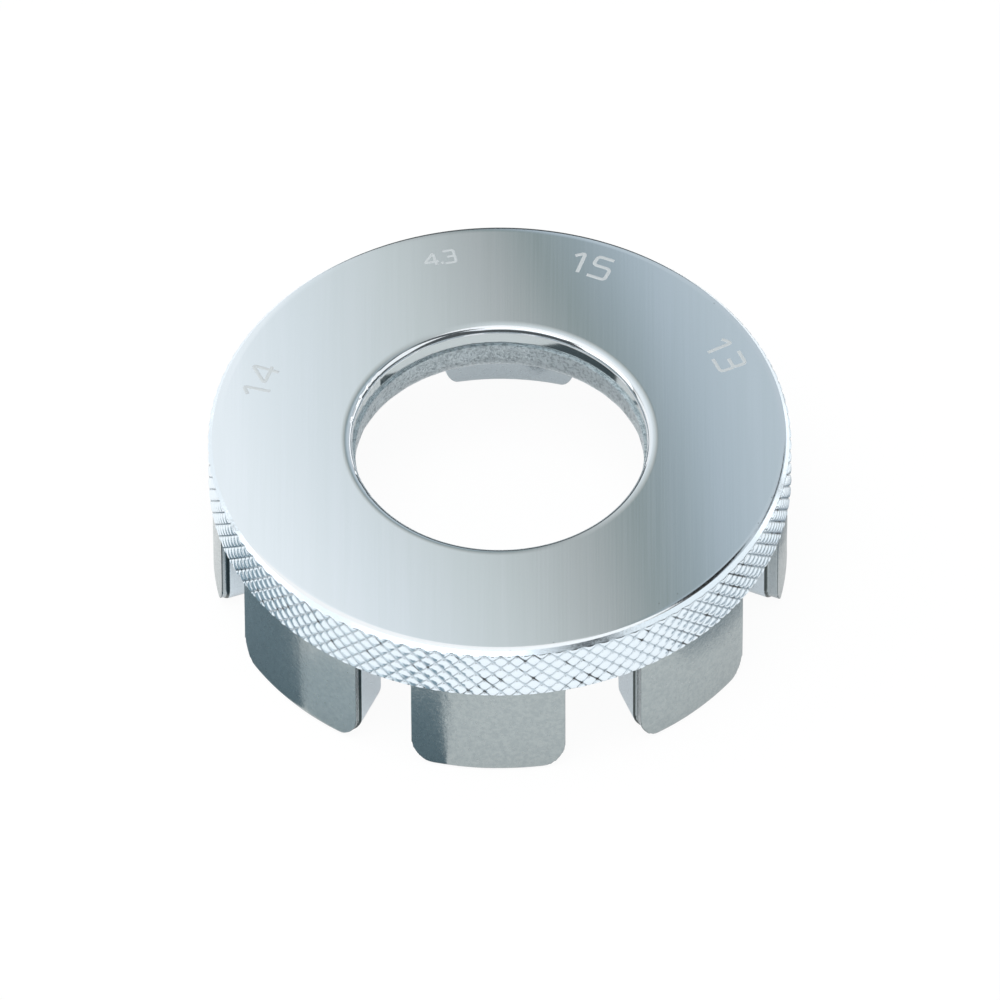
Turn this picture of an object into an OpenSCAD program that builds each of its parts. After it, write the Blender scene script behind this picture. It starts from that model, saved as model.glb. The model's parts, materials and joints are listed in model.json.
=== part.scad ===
// Round spoke wrench: a thick ring with a knurled rim and a crown of eight jaws under it.
// The origin is at the centre of the jaw tips, +Z points up through the bore to the flat top face.
// Slots lie every 45 degrees from +X. Those at 0 to 135 degrees grip nipples, those opposite clear the spoke.

/* [Body] */
// Diameter over the crests of the knurl
rim_d = 42; // [40:0.5:44]
// Height from the jaw tips to the top face
body_h = 12.8; // [12:0.1:14]
// Thickness of the ring plate
plate_t = 4.5; // [4.2:0.1:5]

/* [Bore] */
// Diameter of the bore at its narrowest, between its as-cast walls
bore_d = 20.8; // [18:0.1:22]
// Step out from the as-cast wall to the machined wall above it
turned_step = 0.2; // [0.1:0.05:0.3]
// Length of the straight machined wall
turned_wall_l = 1.05; // [0.8:0.05:1.3]
// Radius of the rounded edge between the top face and the machined wall
bore_edge_r = 0.5; // [0.4:0.1:0.8]
// Radius of the as-cast rounding at the bottom of the bore
cast_round_r = 1.7; // [1:0.1:1.8]

/* [Knurled rim] */
// Number of diamonds round the rim
diamond_count = 112; // [96:2:120]
// Number of half diamonds stacked over the width of the knurl
half_rows = 6; // [4:2:6]
// Depth of the grooves below the crests
groove_depth = 0.36; // [0.2:0.02:0.4]
// Share of each diamond that stays flat at the crest
crest_share = 0.58; // [0.4:0.02:0.7]
// Width of the smooth top chamfer, measured along the radius
chamfer_w = 0.45; // [0.2:0.05:0.5]
// Height of the smooth top chamfer
chamfer_h = 0.35; // [0.2:0.05:0.5]
// Height of the first groove ends below the chamfer
groove_end_h = 0.1; // [0.06:0.02:0.2]
// Height of the plain strip between the knurl and the underside
plain_strip_h = 0.45; // [0.3:0.05:0.6]
// Radial depth of metal kept between the grooves and the seat of the rim
rim_web = 0.35; // [0.2:0.05:0.6]

/* [Jaws] */
// Distance from the knurl crests in to the outer face of the jaws
jaw_setback = 0.25; // [0.2:0.05:0.4]
// Radial thickness of a jaw at its tip
jaw_t = 3.9; // [3:0.1:4.5]
// How much thicker a jaw is at its root than at its tip
jaw_draft = 0.2; // [0:0.05:0.4]
// Rise of the jaw tip from its outer edge to its inner edge
tip_rise = 0.4; // [0.1:0.05:0.6]
// Radius of the outer tip edge
tip_outer_r = 0.5; // [0.3:0.05:0.7]
// Radius of the inner tip edge
tip_inner_r = 0.6; // [0.3:0.05:0.8]
// Radius of the fillet between the inside of a jaw and the plate
root_inner_r = 0.8; // [0.4:0.1:1]

/* [Slots] */
// Width of the slot for 13 gauge nipples, at 0 degrees
slot_13g_w = 3.95; // [3.6:0.05:4.1]
// Width of the slot for 15 gauge nipples, at 45 degrees
slot_15g_w = 3.25; // [3.1:0.05:3.4]
// Width of the slot for 4.3 mm nipples, at 90 degrees
slot_4_3_w = 4.35; // [4.3:0.05:4.5]
// Width of the slot for 14 gauge nipples, at 135 degrees
slot_14g_w = 3.45; // [3.3:0.05:3.6]
// Width of the clear slot opposite the 13 gauge slot
clear_13g_w = 4.2; // [3.5:0.1:5.8]
// Width of the clear slot opposite the 15 gauge slot
clear_15g_w = 3.85; // [3.5:0.05:5.8]
// Width of the clear slot opposite the 4.3 mm slot
clear_4_3_w = 5.3; // [4.3:0.1:5.8]
// Width of the clear slot opposite the 14 gauge slot
clear_14g_w = 5.8; // [3.5:0.1:5.8]
// Radius of the fillet at the root of a slot
slot_root_r = 0.5; // [0.2:0.1:0.8]
// Radius of the rounded corner between a slot and the jaw tip
tip_corner_r = 2.3; // [1:0.1:2.4]
// Depth of the step cut back into each side of a slot at its mouth
mouth_step = 0.22; // [0.1:0.02:0.3]
// Radial length of the mouth step of a full slot
mouth_l = 1.15; // [0.8:0.05:1.5]
// Radial length of the shorter mouth step of the two narrow clear slots
short_mouth_l = 0.6; // [0.3:0.05:0.8]

/* [Hidden] */
$fn = 96;

// Length by which every cut runs past the metal it cuts
overrun = 1;
// Width of the narrow flat that the rim adds outside the plate's top edge
top_land = 0.05;
// Height by which the root fillets aim past the underside, so that they end on a clean edge
fillet_aim = 0.03;

brushed_face = [0.77, 0.81, 0.84];
bright_knurl = [0.86, 0.89, 0.93];
cast_plating = [0.64, 0.69, 0.70];

crest_r = rim_d / 2;
groove_r = crest_r - groove_depth;
seat_r = groove_r - rim_web;
top_edge_r = crest_r - chamfer_w;
seat_cone_h = top_edge_r - top_land - seat_r;
underside_z = body_h - plate_t;
knurl_low_z = underside_z + plain_strip_h;
knurl_high_z = body_h - chamfer_h - groove_end_h;

cast_r = bore_d / 2;
turned_r = cast_r + turned_step;
turned_top_z = body_h - bore_edge_r;
turned_low_z = turned_top_z - turned_wall_l;

jaw_outer_r = crest_r - jaw_setback;
jaw_inner_r = jaw_outer_r - jaw_t;
tip_slope = tip_rise / jaw_t;
tip_stretch = sqrt(1 + tip_slope * tip_slope);

slot_step = 45;
slot_widths = [slot_13g_w, slot_15g_w, slot_4_3_w, slot_14g_w,
               clear_13g_w, clear_15g_w, clear_4_3_w, clear_14g_w];
mouth_lengths = [mouth_l, mouth_l, mouth_l, mouth_l,
                 short_mouth_l, short_mouth_l, mouth_l, mouth_l];

// Half section of the space inside the rim that the plate fills
module seat_section() {
    polygon([
        [0, underside_z],
        [seat_r, underside_z],
        [seat_r, body_h - seat_cone_h],
        [seat_r + seat_cone_h, body_h],
        [0, body_h]
    ]);
}

// Half section of the bore: rounded top edge, machined wall, narrower as-cast wall, rounded bottom
module bore_section() {
    translate([0, underside_z - overrun])
        square([cast_r, plate_t + 2 * overrun]);
    translate([0, turned_low_z])
        square([turned_r, body_h - turned_low_z + overrun]);
    difference() {
        translate([0, turned_top_z])
            square([turned_r + bore_edge_r, bore_edge_r + overrun]);
        translate([turned_r + bore_edge_r, turned_top_z])
            circle(r = bore_edge_r);
    }
    difference() {
        translate([0, underside_z - overrun])
            square([cast_r + cast_round_r, cast_round_r + overrun]);
        translate([cast_r + cast_round_r, underside_z + cast_round_r])
            circle(r = cast_round_r);
    }
}

module ring_plate() {
    color(brushed_face)
        rotate_extrude()
            difference() {
                seat_section();
                bore_section();
            }
}

// Number of half steps round the knurl, two to a diamond
knurl_steps = 2 * diamond_count;
knurl_row_h = (knurl_high_z - knurl_low_z) / half_rows;

// Point on the rim, with step and row allowed to lie between grid lines
function rim_point(step, z, r) =
    let (angle = 360 * step / knurl_steps)
    [r * cos(angle), r * sin(angle), z];

function row_z(row) = knurl_low_z + row * knurl_row_h;

// Groove crossings, where step and row add to an odd number
crossings = [for (row = [0 : half_rows], k = [0 : diamond_count - 1])
    rim_point(2 * k + (row + 1) % 2, row_z(row), groove_r)];

// Crest corners of each diamond in the order left, low, right, high
crests = [for (row = [0 : half_rows], k = [0 : diamond_count - 1], side = [0 : 3])
    let (
        step = 2 * k + row % 2,
        across = [-crest_share, 0, crest_share, 0][side],
        up = [0, -crest_share, 0, crest_share][side]
    )
    rim_point(step + across, row_z(row + up), crest_r)];

// The rim's inner wall has flat sides, so it stands out by this factor to clear the round seat
side_reach = 1 / cos(180 / knurl_steps);

// Plain rings, as radius and height, from the underside round the outside to the top and down the seat
ring_sizes = [
    [seat_r * side_reach, underside_z],
    [jaw_outer_r, underside_z],
    [crest_r, body_h - chamfer_h],
    [top_edge_r, body_h],
    [(seat_r + seat_cone_h) * side_reach, body_h],
    [seat_r * side_reach, body_h - seat_cone_h]
];
rings = [for (size = ring_sizes, step = [0 : knurl_steps - 1]) rim_point(step, size[1], size[0])];

first_crest = len(crossings);
first_ring = first_crest + len(crests);

// Index of the groove crossing at a step and row
function crossing(step, row) =
    row * diamond_count + floor(((step + knurl_steps) % knurl_steps) / 2);
// Index of a crest corner: side 0 left, 1 low, 2 right, 3 high
function crest(step, row, side) =
    first_crest + 4 * (row * diamond_count + floor(((step + knurl_steps) % knurl_steps) / 2)) + side;
// Index of a point on one of the plain rings
function ring(number, step) =
    first_ring + number * knurl_steps + (step + knurl_steps) % knurl_steps;

// Upper and lower half of the flat crest of one diamond
function upper_crest(step, row) =
    [[crest(step, row, 0), crest(step, row, 3), crest(step, row, 2)]];
function lower_crest(step, row) =
    [[crest(step, row, 0), crest(step, row, 2), crest(step, row, 1)]];

// The two flanks that fall from a crest to the grooves above it
function upper_flanks(step, row) =
    let (
        left = crossing(step - 1, row),
        right = crossing(step + 1, row),
        high = crossing(step, row + 1)
    )
    [
        [right, crest(step, row, 2), crest(step, row, 3)],
        [right, crest(step, row, 3), high],
        [high, crest(step, row, 3), crest(step, row, 0)],
        [high, crest(step, row, 0), left]
    ];

// The two flanks that fall from a crest to the grooves below it
function lower_flanks(step, row) =
    let (
        left = crossing(step - 1, row),
        right = crossing(step + 1, row),
        low = crossing(step, row - 1)
    )
    [
        [left, crest(step, row, 0), crest(step, row, 1)],
        [left, crest(step, row, 1), low],
        [low, crest(step, row, 1), crest(step, row, 2)],
        [low, crest(step, row, 2), right]
    ];

// Run-out from the lowest half diamonds down to the plain strip
function lower_runout(step) = [
    [ring(1, step - 1), crossing(step - 1, 0), crest(step, 0, 0)],
    [ring(1, step - 1), crest(step, 0, 0), ring(1, step)],
    [ring(1, step), crest(step, 0, 0), crest(step, 0, 2)],
    [ring(1, step), crest(step, 0, 2), ring(1, step + 1)],
    [ring(1, step + 1), crest(step, 0, 2), crossing(step + 1, 0)]
];

// Run-out from the highest half diamonds up to the chamfer
function upper_runout(step) = [
    [ring(2, step - 1), crest(step, half_rows, 0), crossing(step - 1, half_rows)],
    [ring(2, step - 1), ring(2, step), crest(step, half_rows, 0)],
    [ring(2, step), crest(step, half_rows, 2), crest(step, half_rows, 0)],
    [ring(2, step), ring(2, step + 1), crest(step, half_rows, 2)],
    [ring(2, step + 1), crossing(step + 1, half_rows), crest(step, half_rows, 2)]
];

// Plain band between two rings
function band(low, high) = [for (step = [0 : knurl_steps - 1])
    [ring(low, step), ring(high, step), ring(high, step + 1), ring(low, step + 1)]];

knurl_faces = [
    for (row = [0 : half_rows - 1], k = [0 : diamond_count - 1])
        each concat(upper_crest(2 * k + row % 2, row), upper_flanks(2 * k + row % 2, row)),
    for (row = [1 : half_rows], k = [0 : diamond_count - 1])
        each concat(lower_crest(2 * k + row % 2, row), lower_flanks(2 * k + row % 2, row)),
    for (k = [0 : diamond_count - 1])
        each lower_runout(2 * k),
    for (k = [0 : diamond_count - 1])
        each upper_runout(2 * k),
    each band(0, 1),
    each band(2, 3),
    each band(3, 4),
    each band(4, 5),
    each band(5, 0)
];

module knurled_rim() {
    color(bright_knurl)
        polyhedron(points = concat(crossings, crests, rings), faces = knurl_faces);
}

// Corner left between two straight edges once a circle that touches both is taken away
module rounded_off(centre, radius, first, corner, last) {
    difference() {
        polygon([centre, first, corner, last]);
        translate(centre)
            circle(r = radius);
    }
}

// Half section of a jaw: rounded and slightly sloping tip, drafted inner face, fillet at the root
module jaw_section() {
    // Height at which the tip would meet the outer face if that edge, which reaches down to 0, were sharp
    tip_z = tip_outer_r * (1 - tip_slope - tip_stretch);
    outer_centre = [jaw_outer_r - tip_outer_r, tip_outer_r];
    inner_centre = [
        jaw_inner_r + tip_inner_r,
        tip_z + tip_slope * (jaw_t - tip_inner_r) + tip_inner_r * tip_stretch
    ];
    down = [-tip_slope, -1] / tip_stretch;
    root_edge_r = jaw_inner_r - jaw_draft;
    fillet_centre = [root_edge_r - root_inner_r, underside_z + fillet_aim - root_inner_r];

    difference() {
        polygon([
            [jaw_outer_r, underside_z],
            [jaw_outer_r, tip_z],
            [jaw_inner_r, tip_z + tip_rise],
            [root_edge_r, fillet_centre[1]],
            fillet_centre,
            [fillet_centre[0], underside_z]
        ]);
        translate(fillet_centre)
            circle(r = root_inner_r);
        rounded_off(
            outer_centre, tip_outer_r,
            outer_centre + [tip_outer_r + overrun, 0],
            [jaw_outer_r + overrun, -overrun],
            outer_centre + (tip_outer_r + overrun) * down
        );
        rounded_off(
            inner_centre, tip_inner_r,
            inner_centre + (tip_inner_r + overrun) * down,
            [jaw_inner_r - overrun, -overrun],
            inner_centre - [tip_inner_r + overrun, 0]
        );
    }
}

// Cross section of a slot: filleted root, straight sides and rounded corners at the jaw tips
module slot_section(width) {
    half_w = width / 2;
    fillet_z = underside_z + fillet_aim - slot_root_r;
    translate([-half_w, -overrun])
        square([width, overrun + fillet_z]);
    translate([slot_root_r - half_w, -overrun])
        square([width - 2 * slot_root_r, underside_z + 2 * overrun]);
    for (side = [-1, 1]) {
        translate([side * (half_w - slot_root_r), fillet_z])
            circle(r = slot_root_r);
        difference() {
            translate([side > 0 ? 0 : -half_w - tip_corner_r, -overrun])
                square([half_w + tip_corner_r, overrun + tip_corner_r]);
            translate([side * (half_w + tip_corner_r), tip_corner_r])
                circle(r = tip_corner_r);
        }
    }
}

// Cutter for one slot, with the wider step at its mouth
module slot_cutter(number) {
    start_r = jaw_inner_r - jaw_draft - root_inner_r - overrun;
    mouth_r = jaw_outer_r - mouth_lengths[number];
    rotate([0, 0, slot_step * number])
        rotate([90, 0, 90]) {
            translate([0, 0, start_r])
                linear_extrude(crest_r + overrun - start_r)
                    slot_section(slot_widths[number]);
            translate([0, 0, mouth_r])
                linear_extrude(crest_r + overrun - mouth_r)
                    slot_section(slot_widths[number] + 2 * mouth_step);
        }
}

// Jaw between a slot and the next one counter-clockwise
module jaw(number) {
    color(cast_plating)
        difference() {
            rotate_extrude(angle = slot_step, start = slot_step * number)
                jaw_section();
            slot_cutter(number);
            slot_cutter((number + 1) % len(slot_widths));
        }
}

module rear_right_jaw() {
    jaw(0);
}

module rear_jaw() {
    jaw(1);
}

module rear_left_jaw() {
    jaw(2);
}

module left_jaw() {
    jaw(3);
}

module front_left_jaw() {
    jaw(4);
}

module front_jaw() {
    jaw(5);
}

module front_right_jaw() {
    jaw(6);
}

module right_jaw() {
    jaw(7);
}

ring_plate();
knurled_rim();
front_jaw();
front_right_jaw();
right_jaw();
rear_right_jaw();
rear_jaw();
rear_left_jaw();
left_jaw();
front_left_jaw();
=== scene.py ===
# %% [markdown]
# # A round spoke wrench in bright plated steel
#
# The object is a small hand tool: a thick ring with a knurled rim and a crown of eight jaws under
# it. The real one is a single casting that was turned, knurled, plated and brushed. The packed
# model gives every size and place. This script makes the parts that light plays on again with
# more detail, and gives each region of the metal its own finish.

# %% The frame
import json
import math
import random

import bmesh
import bpy
from mathutils import Matrix, Quaternion, Vector, noise


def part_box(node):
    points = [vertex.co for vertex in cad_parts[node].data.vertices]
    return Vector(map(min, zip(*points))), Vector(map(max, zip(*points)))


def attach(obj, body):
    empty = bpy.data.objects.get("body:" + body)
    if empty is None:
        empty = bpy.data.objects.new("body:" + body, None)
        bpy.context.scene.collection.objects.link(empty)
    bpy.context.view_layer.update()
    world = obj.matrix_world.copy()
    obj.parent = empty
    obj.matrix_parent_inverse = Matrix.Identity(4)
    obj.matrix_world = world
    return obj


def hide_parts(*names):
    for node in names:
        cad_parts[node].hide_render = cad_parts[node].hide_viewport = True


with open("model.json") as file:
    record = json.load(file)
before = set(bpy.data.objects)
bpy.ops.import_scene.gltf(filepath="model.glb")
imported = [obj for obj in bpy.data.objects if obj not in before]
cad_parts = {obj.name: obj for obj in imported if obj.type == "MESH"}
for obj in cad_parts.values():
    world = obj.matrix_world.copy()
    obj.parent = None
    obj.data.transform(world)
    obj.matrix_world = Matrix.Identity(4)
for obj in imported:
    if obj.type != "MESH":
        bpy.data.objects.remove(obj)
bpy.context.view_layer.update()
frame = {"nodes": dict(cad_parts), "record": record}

# %% Sizes of the tool
MM = 0.001
rim_low, rim_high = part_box("knurled_rim")
bore_mount = next(m for m in frame["record"]["mounts"] if m["name"] == "centre_bore")

crest_radius = rim_high.x
face_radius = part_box("ring_plate")[1].x
top_z = rim_high.z
underside_z = rim_low.z
cast_radius = bore_mount["dims"]["r_mm"] * MM
cast_top_z = bore_mount["pos_m"][2] + bore_mount["dims"]["length_mm"] * MM / 2
print(f"rim {2 * crest_radius / MM:.1f} mm across and {top_z / MM:.1f} mm high")
print(f"bore {2 * cast_radius / MM:.1f} mm across")

# %% [markdown]
# ## Meshes and objects
#
# A bmesh is a shape in the making, a mesh is the finished shape, and an object puts a mesh, a lamp
# or a camera in the scene. These two small helpers are the last steps of everything made below.

# %% Mesh and object helpers


def finished_mesh(name, shape):
    """Turns a bmesh into a mesh."""
    mesh = bpy.data.meshes.new(name)
    shape.to_mesh(mesh)
    shape.free()
    return mesh


def new_object(name, data):
    """Puts a mesh, lamp, camera or curve in the scene."""
    made = bpy.data.objects.new(name, data)
    bpy.context.scene.collection.objects.link(made)
    return made


# %% [markdown]
# ## The camera
#
# The photograph was taken from far away with a long lens, so its ellipses are almost those of a
# parallel view. Distance, height and lens come from fitting the rim and bore to the picture. The
# camera stands between two slots, in front of the jaw that faces it.

# %% Directions in the studio
CAMERA_AZIMUTH = math.radians(249.1)

away = Vector((-math.cos(CAMERA_AZIMUTH), -math.sin(CAMERA_AZIMUTH), 0))
across = Vector((away.y, -away.x, 0))
above = Vector((0, 0, 1))


def studio_point(right, back, up):
    """A place or direction as the photographer sees it: to the right, away from the camera, up."""
    return right * across + back * away + up * above


# %% Camera
CAMERA_ELEVATION = math.radians(47.68)
CAMERA_DISTANCE = 1.661
CAMERA_ROLL = math.radians(-0.26)
LENS_MM = 829.3
AIM_HEIGHT = 6.11 * MM

to_camera = studio_point(0, -math.cos(CAMERA_ELEVATION), math.sin(CAMERA_ELEVATION))
camera_data = bpy.data.cameras.new("photo_camera")
camera_data.lens = LENS_MM
camera = new_object("photo_camera", camera_data)
camera.location = Vector((0, 0, AIM_HEIGHT)) + CAMERA_DISTANCE * to_camera
roll = Quaternion((0, 0, 1), CAMERA_ROLL)
camera.rotation_euler = (to_camera.to_track_quat("Z", "Y") @ roll).to_euler()
bpy.context.scene.camera = camera
print(f"camera {camera.location.length:.2f} m from the origin")

# %% [markdown]
# ## Shader nodes by the handful
#
# Every finish below is a small network of nodes. The first helper adds one node, sets its fields
# and fills its sockets, and a socket that is given another node's output is linked to it. The
# others are the few sums and patterns that all finishes share.

# %% Node helper


def add_node(tree, kind, sockets=None, **fields):
    """Adds a shader node. Sockets are filled by name or index with a value or an output."""
    made = tree.nodes.new("ShaderNode" + kind)
    for field, value in fields.items():
        setattr(made, field, value)
    for socket, value in (sockets or {}).items():
        if isinstance(value, bpy.types.NodeSocket):
            tree.links.new(value, made.inputs[socket])
        else:
            made.inputs[socket].default_value = value
    return made


# %% Material helpers


def bare_material(name):
    """A material without nodes, and its tree."""
    material = bpy.data.materials.new(name)
    material.use_nodes = True
    material.node_tree.nodes.clear()
    return material, material.node_tree


def new_metal(name, colour, roughness):
    """A material whose shader is plain metal, ready for its details."""
    material = bpy.data.materials.new(name)
    material.use_nodes = True
    tree = material.node_tree
    shader = tree.nodes["Principled BSDF"]
    shader.inputs["Metallic"].default_value = 1.0
    shader.inputs["Base Color"].default_value = (*colour, 1)
    shader.inputs["Roughness"].default_value = roughness
    coordinates = add_node(tree, "TexCoord").outputs["Object"]
    return material, tree, shader, coordinates


# %% Sums and mixes


def multiply(tree, first, second):
    """The product of two values."""
    return add_node(tree, "Math", {0: first, 1: second}, operation="MULTIPLY").outputs[0]


def multiply_add(tree, value, factor, added):
    """A value times a factor, plus another value."""
    sockets = {0: value, 1: factor, 2: added}
    return add_node(tree, "Math", sockets, operation="MULTIPLY_ADD").outputs[0]


def between(tree, value, low, high, new_low=0.0, new_high=1.0):
    """Maps a range of a value smoothly onto another range."""
    sockets = {"Value": value, "From Min": low, "From Max": high, "To Min": new_low, "To Max": new_high}
    return add_node(tree, "MapRange", sockets, interpolation_type="SMOOTHSTEP").outputs["Result"]


def blend_values(tree, factor, first, second):
    """Mixes two values by a factor."""
    return add_node(tree, "Mix", {"Factor": factor, "A": first, "B": second}).outputs["Result"]


def blend_colours(tree, factor, first, second):
    """Mixes two colours by a factor."""
    mix = add_node(tree, "Mix", {"Factor": factor}, data_type="RGBA")
    for socket, colour in (("A", first), ("B", second)):
        target = [i for i in mix.inputs if i.name == socket and i.type == "RGBA"][0]
        if isinstance(colour, bpy.types.NodeSocket):
            tree.links.new(colour, target)
        else:
            target.default_value = (*colour, 1)
    return [o for o in mix.outputs if o.type == "RGBA"][0]


# %% Patterns and relief
USUAL_LOW, USUAL_HIGH = 0.3, 0.7


def noise_pattern(tree, place, scale, detail, coarseness=0.5):
    """Soft spots with values about 0.5. A scale of 1000 makes them about a millimetre wide."""
    sockets = {"Vector": place, "Scale": scale, "Detail": detail, "Roughness": coarseness}
    return add_node(tree, "TexNoise", sockets).outputs["Fac"]


def spread(tree, pattern, new_low=0.0, new_high=1.0):
    """Stretches the range that most of a noise pattern fills over new limits."""
    return between(tree, pattern, USUAL_LOW, USUAL_HIGH, new_low, new_high)


def relief_normal(tree, height, strength, depth, under=None):
    """A normal that leans as a fine relief does, on top of another normal if there is one."""
    sockets = {"Height": height, "Strength": strength, "Distance": depth}
    if under:
        sockets["Normal"] = under
    return add_node(tree, "Bump", sockets).outputs[0]


def radius_and_height(tree, place):
    """How far a point is from the bore's axis, and how high it is."""
    split = add_node(tree, "SeparateXYZ", {"Vector": place})
    flat = add_node(tree, "CombineXYZ", {"X": split.outputs["X"], "Y": split.outputs["Y"]})
    radius = add_node(tree, "VectorMath", {0: flat.outputs[0]}, operation="LENGTH").outputs["Value"]
    return radius, split.outputs["Z"]


# %% [markdown]
# ## Floor and studio
#
# Bright metal shows its surroundings more than itself, so the studio is designed as the metal
# sees it. The face looks back and up, at a card that is bright on its left half only. Its rolled
# edge and the bore's rounding look overhead, the rim looks at the pale floor, and the world behind
# the camera stays dim, which draws the thin dark lines beside the bright ones.

# %% Floor
FLOOR_SIZE = 6.0
FLOOR_COLOUR = (0.93, 0.93, 0.93)
CAMERA_GLOW = 0.95
GLOSSY_GLOW = 0.5


def make_floor():
    """A pale floor that keeps the shadow but is lifted towards white for camera and metal."""
    shape = bmesh.new()
    bmesh.ops.create_grid(shape, x_segments=1, y_segments=1, size=FLOOR_SIZE / 2)
    floor = new_object("floor", finished_mesh("floor", shape))
    material, tree = bare_material("pale_floor")
    matt = add_node(tree, "BsdfDiffuse", {"Color": (*FLOOR_COLOUR, 1)})
    glow = add_node(tree, "Emission", {"Color": (1, 1, 1, 1), "Strength": 1.0})
    path = add_node(tree, "LightPath")
    for_metal = multiply(tree, path.outputs["Is Glossy Ray"], GLOSSY_GLOW)
    share = multiply_add(tree, path.outputs["Is Camera Ray"], CAMERA_GLOW, for_metal)
    mixed = add_node(tree, "MixShader", {0: share, 1: matt.outputs[0], 2: glow.outputs[0]})
    add_node(tree, "OutputMaterial", {"Surface": mixed.outputs[0]})
    floor.data.materials.append(material)
    print(f"floor {FLOOR_SIZE:.0f} m wide")


make_floor()

# %% World
WORLD_COLOUR = (0.085, 0.095, 0.10)

world = bpy.data.worlds.new("studio")
world.use_nodes = True
background = world.node_tree.nodes["Background"]
background.inputs["Color"].default_value = (*WORLD_COLOUR, 1)
background.inputs["Strength"].default_value = 1.0
bpy.context.scene.world = world
bpy.context.scene.view_settings.view_transform = "Standard"
print("world", WORLD_COLOUR)

# %% [markdown]
# ## The card that the face mirrors
#
# A flat bright face mirrors one small part of its surroundings, where the line of sight bounces
# off it. A lamp there would give it a single tone, but the real face runs from white through a
# dark line to blue-grey. So a card with those tones stands there, which only reflections see.
# Oval patches just before the card are mirrored by the edges, which lean away from the face.

# %% Card helpers
CARD_DISTANCE = 80 * MM
face_centre = Vector((0, 0, top_z))
mirror_way = studio_point(0, math.cos(CAMERA_ELEVATION), math.sin(CAMERA_ELEVATION))
card_up = studio_point(0, -math.sin(CAMERA_ELEVATION), math.cos(CAMERA_ELEVATION))


def stage_for_metal(card):
    """Hides a card from the camera, from matt surfaces and from shadows, so only reflections see it."""
    card.visible_camera = False
    card.visible_diffuse = False
    card.visible_shadow = False


def mirrored_card(name, shape, right=0.0, up=0.0, forward=0.0):
    """Stands a flat shape square to the face's mirror line. Gives its node tree and its light."""
    card = new_object(name, finished_mesh(name, shape))
    distance = CARD_DISTANCE - forward
    card.location = face_centre + distance * mirror_way + right * across + up * card_up
    card.rotation_euler = mirror_way.to_track_quat("Z", "Y").to_euler()
    material, tree = bare_material(name + "_light")
    light = add_node(tree, "Emission", {"Strength": 1.0})
    add_node(tree, "OutputMaterial", {"Surface": light.outputs[0]})
    card.data.materials.append(material)
    stage_for_metal(card)
    print(f"{name}: {distance / MM:.0f} mm from the face")
    return tree, light


# %% Gradient card
CARD_WIDTH = 150 * MM
CARD_HEIGHT = 76 * MM
CARD_TILT = math.radians(18)
DARK_LINE_OFFSET = 7.8 * MM
# Millimetres to the right of the dark line, and the colour of the card there
CARD_STOPS = [
    (-28, (0.91, 0.96, 0.99)),
    (-20, (0.76, 0.82, 0.85)),
    (-11, (0.60, 0.65, 0.65)),
    (-4, (0.42, 0.45, 0.45)),
    (0, (0.27, 0.325, 0.325)),
    (3, (0.32, 0.385, 0.415)),
    (7, (0.44, 0.52, 0.575)),
    (12, (0.52, 0.60, 0.65)),
    (30, (0.55, 0.62, 0.67)),
]


def gradient_card():
    """The card that the face mirrors: bright on the left, a dark line, then a blue-grey half."""
    shape = bmesh.new()
    bmesh.ops.create_grid(shape, x_segments=1, y_segments=1, size=0.5)
    bmesh.ops.scale(shape, vec=(CARD_WIDTH, CARD_HEIGHT, 1), verts=shape.verts)
    tree, light = mirrored_card("gradient_card", shape)
    place = add_node(tree, "TexCoord").outputs["Object"]
    sockets = {"Vector": place, "Location": (DARK_LINE_OFFSET, 0, 0), "Rotation": (0, 0, -CARD_TILT)}
    turned = add_node(tree, "Mapping", sockets)
    leftwards = add_node(tree, "SeparateXYZ", {"Vector": turned.outputs[0]}).outputs["X"]
    first, last = CARD_STOPS[0][0] * MM, CARD_STOPS[-1][0] * MM
    sockets = {"Value": leftwards, "From Min": -first, "From Max": -last, "To Min": 0.0, "To Max": 1.0}
    share = add_node(tree, "MapRange", sockets).outputs["Result"]
    ramp = add_node(tree, "ValToRGB", {"Fac": share})
    for stop, colour in CARD_STOPS[1:-1]:
        ramp.color_ramp.elements.new((stop * MM - first) / (last - first))
    for element, (stop, colour) in zip(ramp.color_ramp.elements, CARD_STOPS):
        element.color = (*colour, 1)
    tree.links.new(ramp.outputs["Color"], light.inputs["Color"])


gradient_card()

# %% Oval patches
PATCH_GAP = 1 * MM
PATCH_CORNERS = 64


def oval_patch(name, centre, half_size, turn, radiance):
    """An oval before the card. Centre and half size are right and up in mm, the turn is in degrees."""
    shape = bmesh.new()
    bmesh.ops.create_circle(shape, segments=PATCH_CORNERS, radius=1, cap_ends=True)
    bmesh.ops.scale(shape, vec=(half_size[0] * MM, half_size[1] * MM, 1), verts=shape.verts)
    bmesh.ops.rotate(shape, matrix=Matrix.Rotation(math.radians(turn), 3, "Z"), verts=shape.verts)
    light = mirrored_card(name, shape, centre[0] * MM, centre[1] * MM, PATCH_GAP)[1]
    light.inputs["Color"].default_value = (radiance, radiance, radiance, 1)


oval_patch("dark_patch", (35.8, 31.0), (13, 9), -58, 0.02)
oval_patch("right_dark_patch", (47.3, 9.5), (11, 3.2), -84, 0.04)
oval_patch("high_patch", (-28, 35), (40, 12), 0, 1.05)

# %% [markdown]
# ## The lamps
#
# What isn't flat on the tool mirrors the whole room, so softboxes stand round it, with gaps
# between them. Where a rounded edge runs from a lamp to a gap it turns from white to dark within
# a millimetre, as the real one does. All are at a plain level, at which a colour renders about as
# it is written. The one that lights the floor is hidden from the metal.

# %% Lamps
LAMP_DISTANCE = 0.5
FLOOR_LIGHT_DISTANCE = 0.8
PLAIN_WHITE = (1, 1, 1)
COOL_WHITE = (0.97, 0.99, 1.0)
BLUE_WHITE = (0.95, 0.98, 1.0)


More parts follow.
